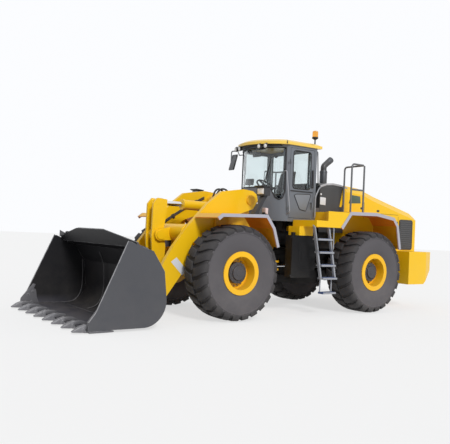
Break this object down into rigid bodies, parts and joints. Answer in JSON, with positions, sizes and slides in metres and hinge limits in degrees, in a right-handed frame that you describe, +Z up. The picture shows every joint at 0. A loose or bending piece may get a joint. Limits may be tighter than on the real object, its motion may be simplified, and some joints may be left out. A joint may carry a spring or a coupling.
{
  "type": "wheel loader",
  "caption": "Articulated wheel loader: toothed bucket on a Z-bar lift arm, hollow cab with a hinged door, hood, fenders and rolling wheels, hinged at mid-frame.",
  "frame": {"origin": "on the floor under the middle of the machine's overall box", "axes": "+X forward towards the bucket, +Y to the machine's left, +Z up"},
  "size_m": [9.06, 3.2, 3.8603],
  "materials": {
    "body_yellow": "satin enamel",
    "chassis_paint": "satin enamel",
    "dark_paint": "satin enamel",
    "black_paint": "semi-gloss",
    "grey_paint": "satin enamel",
    "bucket_grey": "worn satin",
    "bare_steel": "machined",
    "worn_steel": "worn",
    "dark_casting": "as cast, painted",
    "rod_chrome": "polished",
    "tyre_rubber": "matte",
    "black_plastic": "matte",
    "amber_plastic": "clear gloss",
    "seat_fabric": "woven",
    "cab_glass": "green tint"
  },
  "bodies": {
    "rear_half": {"rear_frame": "chassis_paint", "rear_rail_left": "chassis_paint", "rear_rail_right": "chassis_paint", "hinge_pins": "bare_steel", "rear_axle": "chassis_paint", "engine_block": "dark_casting", "gearbox": "dark_casting", "hood": "body_yellow", "engine_cover": "dark_paint", "rear_grilles": "dark_paint", "counterweight": "body_yellow", "rear_fenders": "body_yellow", "side_platforms": "body_yellow", "tank_boxes": "black_paint", "ladders": "grey_paint", "cab_frame": "dark_paint", "cab_glass": "cab_glass", "cab_roof": "body_yellow", "door_hinges": "bare_steel", "cab_seat": "seat_fabric", "steering_column": "black_plastic", "exhaust_stack": "dark_paint", "beacon": "amber_plastic", "mirror": "black_plastic", "handrails": "dark_paint"},
    "front_half": {"front_frame": "body_yellow", "front_tower_left": "body_yellow", "front_tower_right": "body_yellow", "front_axle": "chassis_paint", "front_shaft": "bare_steel", "front_fenders": "body_yellow", "headlights": "black_plastic"},
    "cab_door": {"cab_door": "dark_paint", "door_glass": "cab_glass"},
    "boom": {"boom": "body_yellow"},
    "bellcrank_pin": {"bellcrank_pin": "bare_steel"},
    "bell_crank": {"bell_crank": "body_yellow"},
    "link_pin": {"link_pin": "bare_steel"},
    "link": {"link": "body_yellow"},
    "bucket_pins": {"bucket_pins": "bare_steel"},
    "bucket": {"bucket": "bucket_grey", "bucket_teeth": "worn_steel"},
    "tilt_barrel": {"tilt_barrel": "body_yellow"},
    "tilt_rod": {"tilt_rod": "rod_chrome"},
    "lift_barrels": {"lift_barrels": "body_yellow"},
    "lift_rods": {"lift_rods": "rod_chrome"},
    "wheel_front_left": {"tyre_front_left": "tyre_rubber", "rim_front_left": "body_yellow"},
    "wheel_front_right": {"tyre_front_right": "tyre_rubber", "rim_front_right": "body_yellow"},
    "wheel_rear_left": {"tyre_rear_left": "tyre_rubber", "rim_rear_left": "body_yellow"},
    "wheel_rear_right": {"tyre_rear_right": "tyre_rubber", "rim_rear_right": "body_yellow"},
    "steer_barrel_left": {"steer_barrel_left": "chassis_paint"},
    "steer_rod_left": {"steer_rod_left": "rod_chrome"},
    "steer_barrel_right": {"steer_barrel_right": "chassis_paint"},
    "steer_rod_right": {"steer_rod_right": "rod_chrome"}
  },
  "joints": [
    {"name": "articulation", "type": "hinge", "parent": "rear_half", "child": "front_half", "pos_m": [-0.43, 0, 0.96], "axis": [0, 0, -1], "range_deg": [-38, 38]},
    {"name": "wheel_front_left_spin", "type": "hinge", "parent": "front_half", "child": "wheel_front_left", "pos_m": [1.37, 1.15, 0.875], "axis": [0, 1, 0], "continuous": true},
    {"name": "wheel_front_right_spin", "type": "hinge", "parent": "front_half", "child": "wheel_front_right", "pos_m": [1.37, -1.15, 0.875], "axis": [0, 1, 0], "continuous": true},
    {"name": "wheel_rear_left_spin", "type": "hinge", "parent": "rear_half", "child": "wheel_rear_left", "pos_m": [-2.23, 1.15, 0.875], "axis": [0, 1, 0], "continuous": true},
    {"name": "wheel_rear_right_spin", "type": "hinge", "parent": "rear_half", "child": "wheel_rear_right", "pos_m": [-2.23, -1.15, 0.875], "axis": [0, 1, 0], "continuous": true},
    {"name": "cab_door_swing", "type": "hinge", "parent": "rear_half", "child": "cab_door", "pos_m": [-0.304, 0.786, 2.6], "axis": [0, 0, -1], "range_deg": [0, 85]},
    {"name": "boom_lift", "type": "hinge", "parent": "front_half", "child": "boom", "pos_m": [0.67, 0, 2.25], "axis": [0, -1, 0], "range_deg": [0, 86]},
    {"name": "bellcrank_on_boom", "type": "hinge", "parent": "boom", "child": "bellcrank_pin", "pos_m": [2.35, 0, 1.5], "axis": [0, -1, 0], "range_deg": [-0.01, 6.03]},
    {"name": "bell_crank_swing", "type": "hinge", "parent": "bellcrank_pin", "child": "bell_crank", "pos_m": [2.35, 0, 1.5], "axis": [0, 1, 0], "range_deg": [-12.12, 9.6]},
    {"name": "link_on_crank", "type": "hinge", "parent": "bell_crank", "child": "link_pin", "pos_m": [2.323, 0, 0.518], "axis": [0, -1, 0], "range_deg": [-45.26, 0.02]},
    {"name": "link_swing", "type": "hinge", "parent": "link_pin", "child": "link", "pos_m": [2.323, 0, 0.518], "axis": [0, 1, 0], "range_deg": [-22.25, 28.1]},
    {"name": "bucket_levelling", "type": "hinge", "parent": "boom", "child": "bucket_pins", "pos_m": [2.77, 0, 0.42], "axis": [0, -1, 0], "range_deg": [-77.42, 0.02]},
    {"name": "bucket_tilt", "type": "hinge", "parent": "bucket_pins", "child": "bucket", "pos_m": [2.77, 0, 0.42], "axis": [0, 1, 0], "range_deg": [-38, 48]},
    {"name": "tilt_cylinder_swing", "type": "hinge", "parent": "front_half", "child": "tilt_barrel", "pos_m": [0.5, 0, 2.08], "axis": [0, -1, 0], "range_deg": [-1, 75.82]},
    {"name": "tilt_rod_stroke", "type": "slide", "parent": "tilt_barrel", "child": "tilt_rod", "axis": [0.9999, 0, 0.0168], "range_m": [-0.1269, 0.1015]},
    {"name": "lift_cylinders_swing", "type": "hinge", "parent": "front_half", "child": "lift_barrels", "pos_m": [0.37, 0, 0.85], "axis": [0, -1, 0], "range_deg": [-1, 34.75]},
    {"name": "lift_rods_stroke", "type": "slide", "parent": "lift_barrels", "child": "lift_rods", "axis": [0.8638, 0, 0.5039], "range_m": [-0.005, 1.216]},
    {"name": "steer_left_swing", "type": "hinge", "parent": "rear_half", "child": "steer_barrel_left", "pos_m": [-1.53, 0.575, 0.96], "axis": [0, 0, 1], "range_deg": [-6.49, 6.49]},
    {"name": "steer_left_stroke", "type": "slide", "parent": "steer_barrel_left", "child": "steer_rod_left", "axis": [0.9998, -0.0185, 0], "range_m": [-0.3568, 0.3568]},
    {"name": "steer_right_swing", "type": "hinge", "parent": "rear_half", "child": "steer_barrel_right", "pos_m": [-1.53, -0.575, 0.96], "axis": [0, 0, 1], "range_deg": [-6.49, 6.49]},
    {"name": "steer_right_stroke", "type": "slide", "parent": "steer_barrel_right", "child": "steer_rod_right", "axis": [0.9998, 0.0185, 0], "range_m": [-0.3568, 0.3568]}
  ],
  "couplings": [
    {"joint": "bellcrank_on_boom", "follows": "boom_lift", "ratio": 0.07},
    {"joint": "bell_crank_swing", "follows": "bucket_tilt", "ratio": -0.252},
    {"joint": "link_on_crank", "follows": "boom_lift", "ratio": -0.526},
    {"joint": "link_swing", "follows": "bucket_tilt", "ratio": 0.585},
    {"joint": "bucket_levelling", "follows": "boom_lift", "ratio": -0.9},
    {"joint": "tilt_cylinder_swing", "follows": "boom_lift", "ratio": 0.87},
    {"joint": "tilt_rod_stroke", "follows": "bucket_tilt", "m_per_rad": -0.1455},
    {"joint": "lift_cylinders_swing", "follows": "boom_lift", "ratio": 0.3924},
    {"joint": "lift_rods_stroke", "follows": "boom_lift", "m_per_rad": 0.8068},
    {"joint": "steer_left_swing", "follows": "articulation", "ratio": -0.1444},
    {"joint": "steer_left_stroke", "follows": "articulation", "m_per_rad": 0.5305},
    {"joint": "steer_right_swing", "follows": "articulation", "ratio": -0.1444},
    {"joint": "steer_right_stroke", "follows": "articulation", "m_per_rad": -0.5305}
  ]
}
